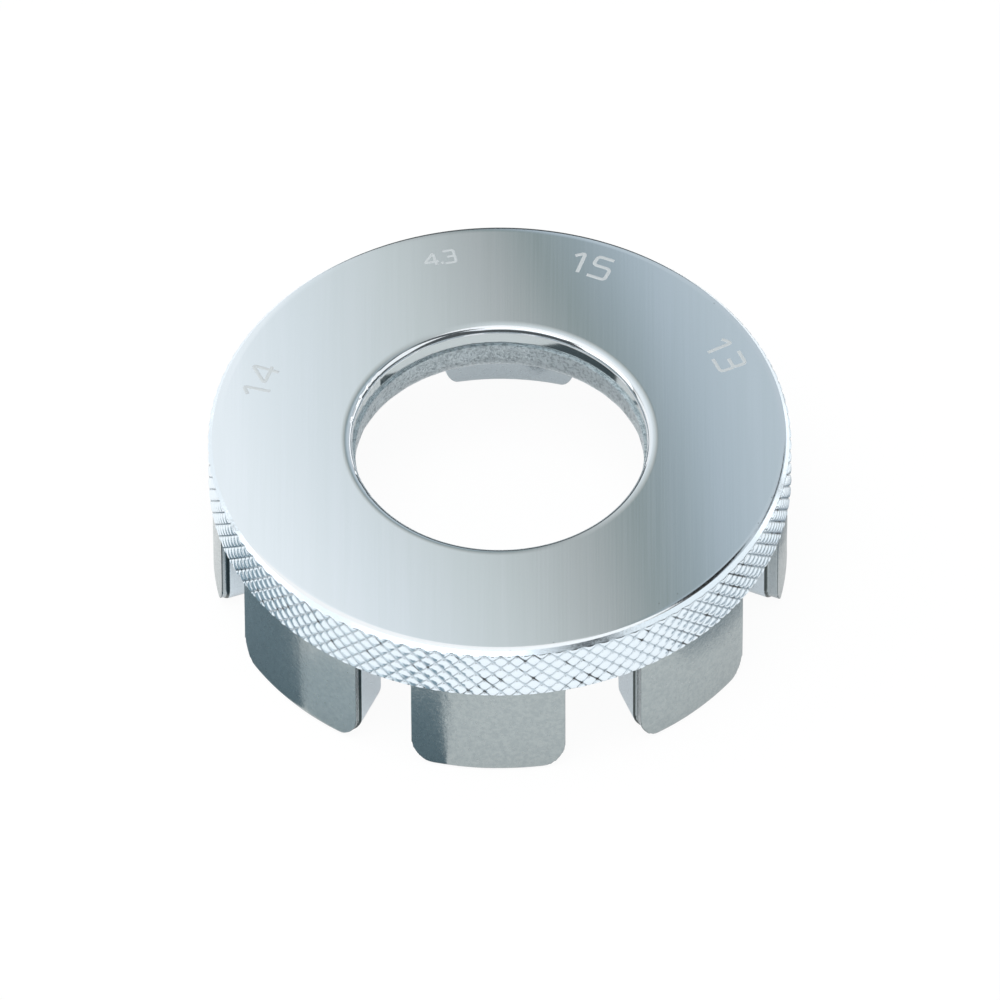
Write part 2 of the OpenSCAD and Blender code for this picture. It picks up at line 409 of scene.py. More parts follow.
def softbox(name, way, size, radiance, colour=PLAIN_WHITE, distance=LAMP_DISTANCE):
    """A lamp of even radiance that faces the tool from a way given as right, back and up."""
    direction = studio_point(*way).normalized()
    lamp = bpy.data.lights.new(name, "AREA")
    lamp.shape = "RECTANGLE"
    lamp.size, lamp.size_y = size
    lamp.color = colour
    lamp.energy = radiance * math.pi * size[0] * size[1]
    box = new_object(name, lamp)
    box.location = face_centre + distance * direction
    box.rotation_euler = direction.to_track_quat("Z", "Y").to_euler()
    box.visible_camera = False
    print(f"{name}: {lamp.energy:.2f} W")
    return box


softbox("overhead", (-0.33, 0.08, 0.94), (0.60, 0.60), 1.02, COOL_WHITE)
softbox("front_left", (-0.15, -0.50, 0.84), (0.44, 0.24), 0.95, BLUE_WHITE)
softbox("right_side", (0.74, 0.0, 0.66), (0.50, 0.40), 0.92, COOL_WHITE)
softbox("left_side", (-0.93, -0.15, 0.42), (0.4, 0.3), 1.3)
softbox("back_right", (0.80, 0.60, 0.10), (0.36, 0.16), 1.1)
softbox("back_right_dim", (0.72, 0.60, 0.38), (0.40, 0.16), 0.5)
softbox("back_left_dim", (-0.75, 0.36, 0.56), (0.22, 0.22), 0.5)
softbox("back_left", (-0.80, 0.60, 0.2), (0.36, 0.24), 0.9)
floor_light = softbox("floor_light", (-0.1, -0.25, 0.97), (0.5, 0.5), 5.0, distance=FLOOR_LIGHT_DISTANCE)
floor_light.visible_glossy = False

# %% [markdown]
# ## Cards on the table
# Upright walls mirror the table a few millimetres away from them, and on a bare pale floor every
# jaw would be white. In the photograph each jaw has its own tone, and the one at the lower left
# turns from dark to light half way. So dark and grey cards lie where each wall mirrors them, as
# painted shadows of the tool on the table. They are bounded like shadows, cast none, and the
# camera doesn't see them.

# %% Table cards of painted shadow
TABLE_CARD_LIFT = 0.05
TABLE_CARD_ROUGHNESS = 0.8
# Painted shadow: these colours stand in for the tool's shadow on the table, as the metal mirrors it
DARK_CARD = (0.20, 0.27, 0.31)
SIDE_CARD = (0.34, 0.39, 0.43)
MIDDLE_CARD = (0.57, 0.63, 0.66)
BORE_CARD = (0.08, 0.10, 0.11)


def painted_shadow_card(name, colour, corners):
    """A matt card of painted shadow lying on the floor, which only the metal sees."""
    shape = bmesh.new()
    places = [studio_point(right, back, TABLE_CARD_LIFT) * MM for right, back in corners]
    face = shape.faces.new([shape.verts.new(place) for place in places])
    face.normal_update()
    if face.normal.z < 0:
        face.normal_flip()
    card = new_object(name, finished_mesh(name, shape))
    material = bpy.data.materials.new(name)
    material.use_nodes = True
    shader = material.node_tree.nodes["Principled BSDF"]
    shader.inputs["Base Color"].default_value = (*colour, 1)
    shader.inputs["Roughness"].default_value = TABLE_CARD_ROUGHNESS
    card.data.materials.append(material)
    stage_for_metal(card)
    print(f"{name}: {len(corners)} corners")


# Each card's place, its colour, and its corners to the right and back in millimetres
PAINTED_SHADOW_CARDS = (
    ("left", DARK_CARD, [(-60, -15.2), (-14.6, -15.2), (-18.0, -10), (-20.3, -5), (-60, -5)]),
    ("front", DARK_CARD, [(-3.9, -20.3), (-7.6, -19.2), (-14, -26), (-7.5, -28.5)]),
    ("slot", DARK_CARD, [(9.5, -7.2), (13.5, -3.6), (17.4, -5.2), (16, -6.6), (13, -9.4), (10.5, -10.5)]),
    ("middle", MIDDLE_CARD, [(-20, -15.3), (-14.6, -15.3), (-8, -19.6), (-12.5, -24.5), (-20, -19.5)]),
    ("right", SIDE_CARD, [(19.5, -18.5), (25.5, -20), (30, -5), (25, 10), (21.5, 6), (24.4, -6)]),
    ("rear", DARK_CARD, [(0.7, 11), (1.5, 11), (2.6, 15), (1.8, 15)]),
    ("bore", BORE_CARD, [(-6, 0.8), (-1.6, 1.0), (2.5, 3.5), (4, 9), (-6, 9)]),
)
for place, colour, corners in PAINTED_SHADOW_CARDS:
    painted_shadow_card(place + "_painted_shadow_card", colour, corners)

# %% [markdown]
# ## The plate's finish
#
# The plate has three kinds of surface. The face is brushed in straight lines towards the camera,
# with rings from the lathe near the bore. Below the rounded mouth of the bore is a short machined
# wall, and under that the bore keeps its rough casting skin. One material draws all three, because
# radius and height tell them apart, and it can let the skin's edge wander as a real one does.

# %% Zones of the plate
FACE_FROM, FACE_FULL = 0.25 * MM, 0.12 * MM
WALL_FROM, WALL_FULL = 0.45 * MM, 0.55 * MM
INSIDE_FROM, INSIDE_FULL = 0.5 * MM, 0.3 * MM
SKIN_FROM, SKIN_FULL = 0.36 * MM, 0.26 * MM
SKIN_EDGE_SCALE = 900.0
SKIN_EDGE_WAVE = 0.3 * MM


def plate_zones(tree, place):
    """A point's radius, and its shares on the brushed face, the machined wall and the skin."""
    radius, height = radius_and_height(tree, place)
    on_face = between(tree, height, top_z - FACE_FROM, top_z - FACE_FULL)
    under_mouth = between(tree, height, top_z - WALL_FROM, top_z - WALL_FULL)
    inside = between(tree, radius, cast_radius + INSIDE_FROM, cast_radius + INSIDE_FULL)
    waves = noise_pattern(tree, place, SKIN_EDGE_SCALE, detail=2.0)
    wavy_height = multiply_add(tree, waves, SKIN_EDGE_WAVE, height)
    on_skin = between(tree, wavy_height, cast_top_z + SKIN_FROM, cast_top_z + SKIN_FULL)
    return radius, on_face, multiply(tree, under_mouth, inside), on_skin


# %% Pits in the plating
PIT_CELLS = 620.0
PIT_GATHERING = 0.45
PIT_CHANCE_FROM, PIT_CHANCE_FULL = 1.22, 1.24
PIT_EDGE, PIT_BOTTOM = 0.03, 0.015
PITTED_FROM, PITTED_FULL = 1.6 * MM, 0.3 * MM
RIGHT_HALF_FULL = 2 * MM


def pit_mask(tree, place, radius):
    """Scattered pinholes in the right half of the plating, gathered near the rim."""
    near_rim = between(tree, radius, face_radius - PITTED_FROM, face_radius - PITTED_FULL)
    cells = add_node(tree, "TexVoronoi", {"Vector": place, "Scale": PIT_CELLS}, voronoi_dimensions="2D")
    chance = add_node(tree, "SeparateColor", {"Color": cells.outputs["Color"]}).outputs["Red"]
    chance_here = multiply_add(tree, near_rim, PIT_GATHERING, chance)
    chosen = between(tree, chance_here, PIT_CHANCE_FROM, PIT_CHANCE_FULL)
    hole = between(tree, cells.outputs["Distance"], PIT_EDGE, PIT_BOTTOM)
    dot = add_node(tree, "VectorMath", {0: place, 1: tuple(across)}, operation="DOT_PRODUCT")
    on_right = between(tree, dot.outputs["Value"], 0, RIGHT_HALF_FULL)
    return multiply(tree, multiply(tree, chosen, hole), on_right)


# %% Colour of the plate
FACE_COLOUR = (0.86, 0.89, 0.92)
WORN_COLOUR = (0.84, 0.875, 0.90)
# Painted shade: the machined wall is coloured darker for the dim inside of the ring that it mirrors.
WALL_SHADE_COLOUR = (0.54, 0.59, 0.60)
SKIN_COLOUR = (0.68, 0.75, 0.78)
SKIN_HOLLOW_COLOUR = (0.42, 0.48, 0.51)
PIT_COLOUR = (0.12, 0.13, 0.13)
HOLLOW_FROM, HOLLOW_FULL = 0.35, 0.55


def plate_colour(tree, bands, skin, pits, on_wall, on_skin):
    """Bright metal in faint broad bands with a few pits, painted shade on the wall, spotted on the skin."""
    worn = blend_colours(tree, spread(tree, bands), FACE_COLOUR, WORN_COLOUR)
    pitted = blend_colours(tree, pits, worn, PIT_COLOUR)
    walled = blend_colours(tree, on_wall, pitted, WALL_SHADE_COLOUR)
    raised = between(tree, skin, HOLLOW_FROM, HOLLOW_FULL)
    spotted = blend_colours(tree, raised, SKIN_HOLLOW_COLOUR, SKIN_COLOUR)
    return blend_colours(tree, on_skin, walled, spotted)


# %% Relief of the plate
RING_SCALE = 7000.0
RINGS_FROM, RINGS_FULL = 15.5 * MM, 12.0 * MM
RING_STRENGTH = 0.35
STREAK_STRENGTH = 0.8
SCRATCH_DEPTH = 0.0012 * MM
SKIN_STRENGTH = 1.0
SKIN_DEPTH = 0.08 * MM


def plate_normal(tree, radius, streaks, skin, on_face, on_skin):
    """The lathe's rings near the bore, the brushing over them, and the rough skin."""
    along_radius = add_node(tree, "CombineXYZ", {"X": radius})
    rings = noise_pattern(tree, along_radius.outputs[0], RING_SCALE, detail=2.0)
    near_bore = between(tree, radius, RINGS_FROM, RINGS_FULL)
    turned = relief_normal(tree, multiply(tree, rings, near_bore), RING_STRENGTH, SCRATCH_DEPTH)
    brushing = multiply(tree, streaks, on_face)
    brushed = relief_normal(tree, brushing, STREAK_STRENGTH, SCRATCH_DEPTH, turned)
    return relief_normal(tree, multiply(tree, skin, on_skin), SKIN_STRENGTH, SKIN_DEPTH, brushed)


# %% Brushed plate finish
STREAK_STRETCH = (70, 6500, 70)
BAND_STRETCH = (40, 1200, 40)
SKIN_SCALE = 4200.0
SKIN_COARSENESS = 0.65
BRUSHED_LOW, BRUSHED_HIGH = 0.07, 0.12
TURNED_ROUGHNESS = 0.08
SKIN_ROUGHNESS = 0.3
BRUSHED_ANISOTROPY = 0.35


def stretched_noise(tree, place, stretch, detail):
    """Noise drawn out into streaks: a larger number makes it finer that way."""
    stretched = add_node(tree, "Mapping", {"Vector": place, "Scale": stretch})
    return noise_pattern(tree, stretched.outputs[0], 1.0, detail)


def brushed_plate_finish():
    """Straight brushing on the face, bright turned bore, rough casting skin below."""
    material, tree, shader, place = new_metal("brushed_plate", FACE_COLOUR, BRUSHED_HIGH)
    turned = add_node(tree, "Mapping", {"Vector": place, "Rotation": (0, 0, -CAMERA_AZIMUTH)})
    streaks = stretched_noise(tree, turned.outputs[0], STREAK_STRETCH, detail=3.0)
    bands = stretched_noise(tree, turned.outputs[0], BAND_STRETCH, detail=2.0)
    skin = noise_pattern(tree, place, SKIN_SCALE, detail=4.0, coarseness=SKIN_COARSENESS)
    radius, on_face, on_wall, on_skin = plate_zones(tree, place)
    pits = multiply(tree, pit_mask(tree, place, radius), on_face)
    colour = plate_colour(tree, bands, skin, pits, on_wall, on_skin)
    tree.links.new(colour, shader.inputs["Base Color"])
    brushed = spread(tree, streaks, BRUSHED_LOW, BRUSHED_HIGH)
    turned_or_brushed = blend_values(tree, on_face, TURNED_ROUGHNESS, brushed)
    rough = blend_values(tree, on_skin, turned_or_brushed, SKIN_ROUGHNESS)
    tree.links.new(rough, shader.inputs["Roughness"])
    tree.links.new(plate_normal(tree, radius, streaks, skin, on_face, on_skin), shader.inputs["Normal"])
    shader.inputs["Anisotropic"].default_value = BRUSHED_ANISOTROPY
    direction = add_node(tree, "CombineXYZ", {"X": across.x, "Y": across.y, "Z": 0.0})
    tree.links.new(direction.outputs[0], shader.inputs["Tangent"])
    return material


plate_finish = brushed_plate_finish()
print(f"{plate_finish.name}: {len(plate_finish.node_tree.nodes)} nodes")

# %% [markdown]
# ## The plate
#
# The plate is turned on a lathe, so it is drawn as one half section and spun round the bore's
# axis. The belt that brushed the face also rolled its outer edge over a little, and the bore's
# mouth is rounded in the same way. A boolean cut would need a bevel after it, while the half
# section has each rounding as an arc of its own.

# %% Turning helpers
SPIN_STEPS = 384
ARC_STEPS = 10


def arc(centre, radius, start, end, steps=ARC_STEPS):
    """Points on an arc in the half section, as radius and height. Angles are in radians from outwards."""
    angles = [start + (end - start) * step / steps for step in range(steps + 1)]
    return [(centre[0] + radius * math.cos(a), centre[1] + radius * math.sin(a)) for a in angles]


def spin_section(points):
    """Spins a closed half section once round the vertical axis into a closed ring."""
    shape = bmesh.new()
    corners = [shape.verts.new((radius, 0, height)) for radius, height in points]
    edges = [shape.edges.new((corners[i - 1], corners[i])) for i in range(len(corners))]
    bmesh.ops.spin(
        shape, geom=corners + edges, cent=(0, 0, 0), axis=(0, 0, 1),
        angle=2 * math.pi, steps=SPIN_STEPS, use_merge=True,
    )
    bmesh.ops.recalc_face_normals(shape, faces=shape.faces)
    return shape


# %% Rolled edge and mouth of the bore
FACE_SINK = 0.012 * MM
EDGE_ROLL_RADIUS = 2.0 * MM
EDGE_ROLL_TURN = math.radians(14)
EDGE_GROWTH = 0.15 * MM
BORE_EDGE_RADIUS = 0.5 * MM
TURNED_STEP = 0.2 * MM

quarter = math.pi / 2
face_z = top_z - FACE_SINK
roll_z = face_z - EDGE_ROLL_RADIUS
rolled_radius = face_radius + EDGE_GROWTH
edge_z = face_z - EDGE_ROLL_RADIUS * (1 - math.cos(EDGE_ROLL_TURN))
roll_centre = (rolled_radius - EDGE_ROLL_RADIUS * math.sin(EDGE_ROLL_TURN), roll_z)
turned_radius = cast_radius + TURNED_STEP
roll_apart = EDGE_ROLL_RADIUS - BORE_EDGE_RADIUS
mouth_centre = (turned_radius + BORE_EDGE_RADIUS, roll_z + roll_apart * math.cos(EDGE_ROLL_TURN))
mouth_roll_centre = (mouth_centre[0] + roll_apart * math.sin(EDGE_ROLL_TURN), roll_z)
print(f"flat face from {mouth_roll_centre[0] / MM:.2f} to {roll_centre[0] / MM:.2f} mm")

# %% Plate section
SKIN_ROUND_RADIUS = 1.7 * MM
SKIN_ROWS = 8
RIM_THICKNESS = 0.71 * MM
SEAT_DROP = 0.3 * MM

skin_centre = (cast_radius + SKIN_ROUND_RADIUS, underside_z + SKIN_ROUND_RADIUS)
seat_radius = crest_radius - RIM_THICKNESS
seat_top_z = edge_z - SEAT_DROP
section = arc(roll_centre, EDGE_ROLL_RADIUS, quarter - EDGE_ROLL_TURN, quarter)
section += arc(mouth_roll_centre, EDGE_ROLL_RADIUS, quarter, quarter + EDGE_ROLL_TURN)
section += arc(mouth_centre, BORE_EDGE_RADIUS, quarter + EDGE_ROLL_TURN, 2 * quarter)[1:]
section += [(turned_radius, cast_top_z)]
for row in range(SKIN_ROWS + 1):
    section.append((cast_radius, cast_top_z + (skin_centre[1] - cast_top_z) * row / SKIN_ROWS))
section += arc(skin_centre, SKIN_ROUND_RADIUS, 2 * quarter, 3 * quarter)[1:]
section += [(seat_radius, underside_z), (seat_radius, seat_top_z)]
plate_shape = spin_section(section)
print(f"plate section of {len(section)} points")

# %% [markdown]
# ## Marks of making on the plate
#
# A spun ring is too perfect. On the real plate the chamfer was cut a little off centre, the ledge
# over the casting skin wavers, the skin bulges, and the mouth of the bore has small nicks. Each is
# a small move of the points that lie there, with noise or a bell curve, before the mesh is kept.

# %% Edge that was cut off centre
EDGE_OFFSET = 0.06 * MM
EDGE_OFFSET_WAY = math.radians(-57)
TOUCH = 0.001 * MM
EDGE_TOLERANCE = 0.01 * MM


def edge_radius(angle):
    """Radius where the rolled edge meets the chamfer, which was cut a little off centre."""
    return rolled_radius - EDGE_OFFSET * math.cos(angle - EDGE_OFFSET_WAY)


def on_rolled_edge(place, radius):
    """Whether a point of the plate belongs to its rolled edge."""
    return radius > roll_centre[0] + TOUCH and place.z > edge_z - EDGE_TOLERANCE


# %% Nicks in the mouth of the bore
NICK_COUNT = 9
NICK_DEPTH = 0.025 * MM
NICK_SIZE = 0.15 * MM
NICK_REACH = 0.2 * MM
NICKED_FROM, NICKED_TO = math.radians(118), math.radians(196)

random_places = random.Random(4)
nicks = [random_places.uniform(NICKED_FROM, NICKED_TO) for _ in range(NICK_COUNT)]
print("nicks at", [round(math.degrees(nick)) for nick in nicks], "degrees")

# %% Edge, ledge, skin and nicks made
SKIN_WAVE = 0.05 * MM
SKIN_WAVE_SCALE = 900
SKIN_REACH = 0.5 * MM
LEDGE_WAVE = 0.03 * MM

for corner in plate_shape.verts:
    out = Vector((corner.co.x, corner.co.y, 0))
    angle = math.atan2(out.y, out.x)
    if on_rolled_edge(corner.co, out.length):
        share = (out.length - roll_centre[0]) / (rolled_radius - roll_centre[0])
        wanted = roll_centre[0] + share * (edge_radius(angle) - roll_centre[0])
        corner.co += out.normalized() * (wanted - out.length)
    elif abs(corner.co.z - cast_top_z) < TOUCH:
        corner.co.z += LEDGE_WAVE * noise.noise(corner.co * SKIN_WAVE_SCALE)
    elif corner.co.z < cast_top_z and out.length < skin_centre[0] + SKIN_REACH:
        corner.co += out.normalized() * (SKIN_WAVE * noise.noise(corner.co * SKIN_WAVE_SCALE))
    elif out.length < mouth_centre[0] - NICK_REACH:
        for nick in nicks:
            apart = abs(math.remainder(angle - nick, 2 * math.pi)) * out.length / NICK_SIZE
            corner.co += (out.normalized() - above) * (NICK_DEPTH * math.exp(-apart * apart))
print(f"plate of {len(plate_shape.verts)} points")

# %% Plate piece


def finish_piece(name, shape, material, nodes, sharp_degrees=35):
    """Turns a bmesh into an object that rides on the tool, and hides the CAD nodes it stands in for."""
    mesh = finished_mesh(name, shape)
    for face in mesh.polygons:
        face.use_smooth = True
    mesh.set_sharp_from_angle(angle=math.radians(sharp_degrees))
    mesh.materials.append(material)
    made = new_object(name, mesh)
    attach(made, "root")
    if nodes:
        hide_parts(*nodes)
    print(f"{name}: {len(mesh.polygons)} faces")


finish_piece("turned_plate", plate_shape, plate_finish, ["ring_plate"])

# %% [markdown]
# ## The rim's finish
#
# Plating lies bright on the crests of the knurl. Down in the grooves, where little light reaches,
# it is given a grey colour as painted shade, and handling leaves dirt there in patches. Depth
# below the crests decides between the tones, so the pattern needs no drawing: it follows the
# shape that is made in the next step.

# %% Tones of the knurl
# Painted shade: the grooves' grey stands in for the light that doesn't reach down into them.
GROOVE_SHADE_COLOUR = (0.50, 0.58, 0.64)
CREST_COLOUR = (0.81, 0.89, 0.95)
STRONG_DEPTH = 0.18 * MM
BRIGHT_FROM, BRIGHT_FULL = 0.9 * STRONG_DEPTH, 0.25 * STRONG_DEPTH
KNURL_TOP_DROP = 0.30 * MM
CHAMFER_FADE = 0.05 * MM
knurl_high_z = top_z - KNURL_TOP_DROP
print(f"knurl up to {knurl_high_z / MM:.2f} mm")

# %% Dirt in the grooves
DIRT_COLOUR = (0.05, 0.05, 0.05)
DIRT_FROM, DIRT_FULL = 0.45 * STRONG_DEPTH, 0.8 * STRONG_DEPTH
DIRT_SCALE = 420.0
DIRT_COARSENESS = 0.7
DIRT_PATCH_FROM, DIRT_PATCH_FULL = 0.52, 0.60


def caught_dirt(tree, place, radius, on_knurl):
    """Dirt in patches, only down in the grooves and never on the chamfer."""
    low = between(tree, radius, crest_radius - DIRT_FROM, crest_radius - DIRT_FULL)
    patches = noise_pattern(tree, place, DIRT_SCALE, detail=3.0, coarseness=DIRT_COARSENESS)
    caught = between(tree, patches, DIRT_PATCH_FROM, DIRT_PATCH_FULL)
    off_knurl = add_node(tree, "Math", {0: 1.0, 1: on_knurl}, operation="SUBTRACT").outputs[0]
    sockets = {0: multiply(tree, low, caught), 1: off_knurl}
    return add_node(tree, "Math", sockets, operation="SUBTRACT", use_clamp=True).outputs[0]


# %% Knurl finish
GRAIN_SCALE = 5200.0
GRAIN_STRENGTH = 0.4
GRAIN_DEPTH = 0.015 * MM
KNURL_ROUGHNESS = 0.2
KNURL_SMOOTHEST, KNURL_ROUGHEST = 0.12, 0.24


def knurl_finish():
    """Bright plating, painted shade down in the grooves, with dirt caught here and there."""
    material, tree, shader, place = new_metal("bright_knurl", CREST_COLOUR, KNURL_ROUGHNESS)
    radius, height = radius_and_height(tree, place)
    on_knurl = between(tree, height, knurl_high_z + CHAMFER_FADE, knurl_high_z - CHAMFER_FADE)
    on_chamfer = between(tree, height, knurl_high_z - CHAMFER_FADE, knurl_high_z + CHAMFER_FADE)
    high = between(tree, radius, crest_radius - BRIGHT_FROM, crest_radius - BRIGHT_FULL)
    bright = add_node(tree, "Math", {0: high, 1: on_chamfer}, operation="MAXIMUM").outputs[0]
    clean = blend_colours(tree, bright, GROOVE_SHADE_COLOUR, CREST_COLOUR)
    dirt = caught_dirt(tree, place, radius, on_knurl)
    tree.links.new(blend_colours(tree, dirt, clean, DIRT_COLOUR), shader.inputs["Base Color"])
    grain = noise_pattern(tree, place, GRAIN_SCALE, detail=3.0)
    rough = spread(tree, grain, KNURL_SMOOTHEST, KNURL_ROUGHEST)
    tree.links.new(rough, shader.inputs["Roughness"])
    relief = relief_normal(tree, multiply(tree, grain, on_knurl), GRAIN_STRENGTH, GRAIN_DEPTH)
    tree.links.new(relief, shader.inputs["Normal"])
    return material


rim_finish = knurl_finish()
print(f"{rim_finish.name}: {len(rim_finish.node_tree.nodes)} nodes")

# %% [markdown]
# ## The knurled rim
#
# A knurl is rolled with two sets of slanted wheels, so it is two families of grooves that cross.
# A fine tube is raised row by row from a circle. Each point then moves in or out by its distance
# to the nearest groove of either family, and the chamfers cut the diamonds off above and below.
# Real geometry was chosen over a bump, because the diamonds are seen in outline at both sides.

# %% Groove shapes
DIAMONDS = 112
HALF_ROWS = 6
STRONG_HALF_WIDTH = 0.15 * MM
STRONG_PILLOW = 0.09 * MM
WEAK_DEPTH = 0.16 * MM
WEAK_HALF_WIDTH = 0.18 * MM
WEAK_PILLOW = 0.06 * MM
GROOVE_END = 0.06 * MM
PLAIN_STRIP = 0.45 * MM
knurl_low_z = underside_z + PLAIN_STRIP
row_height = (knurl_high_z - knurl_low_z) / HALF_ROWS
print(f"{DIAMONDS} diamonds, {2 * row_height / MM:.2f} mm high each")


def clamped(value):
    """A value kept from 0 to 1."""
    return min(max(value, 0.0), 1.0)


def to_groove(value):
    """Distance to the nearest groove of one family, from 0 in the groove to 0.5 on the crest."""
    return abs((value % 1.0) - 0.5)


def groove_cut(distance, half_width, depth):
    """How far a groove cuts in at a distance from its middle: sharp bottom, rounded shoulders."""
    return depth * (1 - min(distance / half_width, 1.0)) ** 2


def knurl_radius(turns, height):
    """Radius of the knurled surface at a share of a turn and a height."""
    column = turns * DIAMONDS
    row = (height - knurl_low_z) / (2 * row_height)
    spacing = math.hypot(1, 1) * row_height
    strong = to_groove(column + row) * spacing
    weak = to_groove(column - row) * spacing
    cut = max(
        groove_cut(strong, STRONG_HALF_WIDTH, STRONG_DEPTH),
        groove_cut(weak, WEAK_HALF_WIDTH, WEAK_DEPTH),
    )
    crown = groove_cut(strong, spacing / 2, STRONG_PILLOW) + groove_cut(weak, spacing / 2, WEAK_PILLOW)
    fade = clamped((knurl_high_z + GROOVE_END - height) / GROOVE_END)
    return crest_radius - fade * max(cut, crown)


# %% Chamfers
# Degrees from level. The edge was cut at a slant, so its chamfer is flatter on the camera's side
FRONT_CHAMFER_SLOPE = 32
REAR_CHAMFER_SLOPE = 50
LOWER_CHAMFER = 0.12 * MM
LOWER_CHAMFER_LEAN = 0.9


def rim_radius(turns, height):
    """The knurl, cut back by the chamfer above and the smaller one below."""
    frontness = 0.5 - 0.5 * math.cos(2 * math.pi * turns - CAMERA_AZIMUTH + math.pi)
    slope = REAR_CHAMFER_SLOPE + (FRONT_CHAMFER_SLOPE - REAR_CHAMFER_SLOPE) * frontness
    upper = edge_radius(2 * math.pi * turns) + (edge_z - height) / math.tan(math.radians(slope))
    lower = crest_radius - LOWER_CHAMFER_LEAN * (LOWER_CHAMFER - (height - underside_z))
    return min(knurl_radius(turns, height), upper, lower)


# %% Rows of the tube
STEPS_PER_HALF = 7
CHAMFER_ROWS = 10


def tube_heights():
    """Heights of the tube's rows, in step with the diamonds and closer together on the chamfer."""
    grid_step = row_height / STEPS_PER_HALF
    rows_below = math.floor((knurl_low_z - underside_z) / grid_step)
    rows = rows_below + HALF_ROWS * STEPS_PER_HALF
    heights = [knurl_low_z + grid_step * (n - rows_below) for n in range(rows + 1)]
    chamfer_height = edge_z - knurl_high_z
    return heights + [knurl_high_z + chamfer_height * (n + 1) / CHAMFER_ROWS for n in range(CHAMFER_ROWS)]


def extrude_ring(shape, edges, place):
    """Extrudes a ring of edges and moves the new points to where a function of the old ones says."""
    made = bmesh.ops.extrude_edge_only(shape, edges=edges)["geom"]
    for corner in (item for item in made if isinstance(item, bmesh.types.BMVert)):
        corner.co = place(corner.co)
    return [item for item in made if isinstance(item, bmesh.types.BMEdge)]


# %% Rim piece


def seat_point(corner, height):
    """The point on the round seat of the plate that lies inwards of a point of the rim."""
    inner = Vector((corner.x, corner.y, 0)).normalized() * seat_radius
    return Vector((inner.x, inner.y, height))


def knurled_tube():
    """A closed ring whose outer wall carries the diamonds."""
    columns = 2 * STEPS_PER_HALF * DIAMONDS
    shape = bmesh.new()
    ring = bmesh.ops.create_circle(shape, segments=columns, radius=crest_radius)["verts"]
    first_edges = edges = list({edge for corner in ring for edge in corner.link_edges})
    bmesh.ops.translate(shape, verts=ring, vec=(0, 0, underside_z))
    for height in tube_heights():
        edges = extrude_ring(shape, edges, lambda co: Vector((co.x, co.y, height)))
    for corner in shape.verts:
        turns = math.atan2(corner.co.y, corner.co.x) / (2 * math.pi)
        share = rim_radius(turns, corner.co.z) / crest_radius
        corner.co.x *= share
        corner.co.y *= share
    for height in (seat_top_z, underside_z):
        edges = extrude_ring(shape, edges, lambda co: seat_point(co, height))
    bmesh.ops.bridge_loops(shape, edges=edges + first_edges)
    bmesh.ops.recalc_face_normals(shape, faces=shape.faces)
    return shape


finish_piece("diamond_rim", knurled_tube(), rim_finish, ["knurled_rim"], sharp_degrees=50)

# %% [markdown]
# ## The jaws' finish
#
# Under the plating the jaws are as they came from the mould: satin, faintly mottled, with a skin
# that crinkles when seen close by. Only the flanks of the slots were milled bright, and near the
# outside each flank steps back in a short relief, with a line of painted shade in the corner at
# its end. The bright colour is partly painted light: it lifts the flanks, which mirror the shaded
# table inside the ring, and a share of it lies on the jaws' inner faces. Two numbers stored at
# each point of the mesh tell the material where the painted shade and the bright metal are.

# %% Jaw finish
JAW_COLOUR = (0.405, 0.45, 0.455)
JAW_SHADE_COLOUR = (0.355, 0.40, 0.41)
# Bright milled metal on the flanks, partly painted light; on the jaws' inner faces only painted light
MILLED_AND_LIT_COLOUR = (0.71, 0.79, 0.85)
# Painted shade: the dark line in the corner where each relief ends, and a little on its floor
RELIEF_SHADOW_COLOUR = (0.06, 0.075, 0.075)
MOTTLE_SCALE = 2800.0
MOTTLE_FROM, MOTTLE_FULL = 0.35, 0.65
CRINKLE_SCALE = 4200.0
CRINKLE_STRENGTH = 0.9
CRINKLE_DEPTH = 0.018 * MM
CAST_COARSENESS = 0.6
CAST_ROUGHNESS = 0.25
CAST_SMOOTHEST, CAST_ROUGHEST = 0.18, 0.28


def cast_plating_finish():
    """Satin plating over a smooth casting: faint mottling, a crinkled skin, painted shade in the reliefs.
    """
    material, tree, shader, place = new_metal("cast_plating", JAW_COLOUR, CAST_ROUGHNESS)
    mottle = noise_pattern(tree, place, MOTTLE_SCALE, detail=5.0, coarseness=CAST_COARSENESS)
    crinkle = noise_pattern(tree, place, CRINKLE_SCALE, detail=3.0, coarseness=CAST_COARSENESS)
    relief = add_node(tree, "Attribute", attribute_name="relief").outputs["Fac"]
    milled_and_lit = add_node(tree, "Attribute", attribute_name="milled_and_lit").outputs["Fac"]
    mottled = between(tree, mottle, MOTTLE_FROM, MOTTLE_FULL)
    cast = blend_colours(tree, mottled, JAW_SHADE_COLOUR, JAW_COLOUR)
    # Bright where milled and lifted as painted light, then painted shade in the reliefs
    plain = blend_colours(tree, milled_and_lit, cast, MILLED_AND_LIT_COLOUR)
    tree.links.new(blend_colours(tree, relief, plain, RELIEF_SHADOW_COLOUR), shader.inputs["Base Color"])
    tree.links.new(spread(tree, crinkle, CAST_SMOOTHEST, CAST_ROUGHEST), shader.inputs["Roughness"])
    skin = relief_normal(tree, crinkle, CRINKLE_STRENGTH, CRINKLE_DEPTH)
    tree.links.new(skin, shader.inputs["Normal"])
    return material


jaw_finish = cast_plating_finish()
print(f"{jaw_finish.name}: {len(jaw_finish.node_tree.nodes)} nodes")

# %% Slots and their reliefs
SLOT_COUNT = 8
SLOT_STEP = 2 * math.pi / SLOT_COUNT
JAW_SETBACK = 0.25 * MM
RELIEF_LENGTH = 1.15 * MM
SHORT_RELIEF_LENGTH = 0.6 * MM
SHORT_RELIEF_SLOTS = (4, 5)
jaw_outer_radius = crest_radius - JAW_SETBACK


